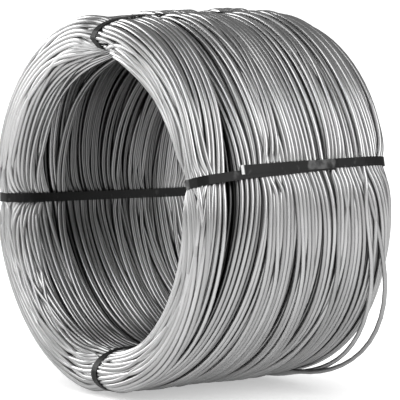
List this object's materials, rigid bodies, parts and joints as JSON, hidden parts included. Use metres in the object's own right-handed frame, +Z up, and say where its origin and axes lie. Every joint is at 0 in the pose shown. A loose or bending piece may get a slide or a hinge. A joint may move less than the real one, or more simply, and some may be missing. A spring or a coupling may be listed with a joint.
{
  "type": "steel wire coil",
  "caption": "Round stainless steel wire wound into a layered coil with an open bore, bound by flat straps drawn through the bore and over both ends.",
  "frame": {"origin": "on the floor under the middle of the coil, which lies on its side", "axes": "+X along the axis of the coil, towards the far end; +Z up; -Y is the side that carries the strap joint seen in the picture"},
  "size_m": [0.3316, 0.5313, 0.5325],
  "materials": {
    "wire": "bright drawn stainless steel",
    "strap": "black painted steel strapping"
  },
  "bodies": {
    "root": {"wire_coil": "wire", "strap_top": "strap", "strap_front": "strap", "strap_bottom": "strap", "strap_back": "strap"}
  },
  "joints": []
}
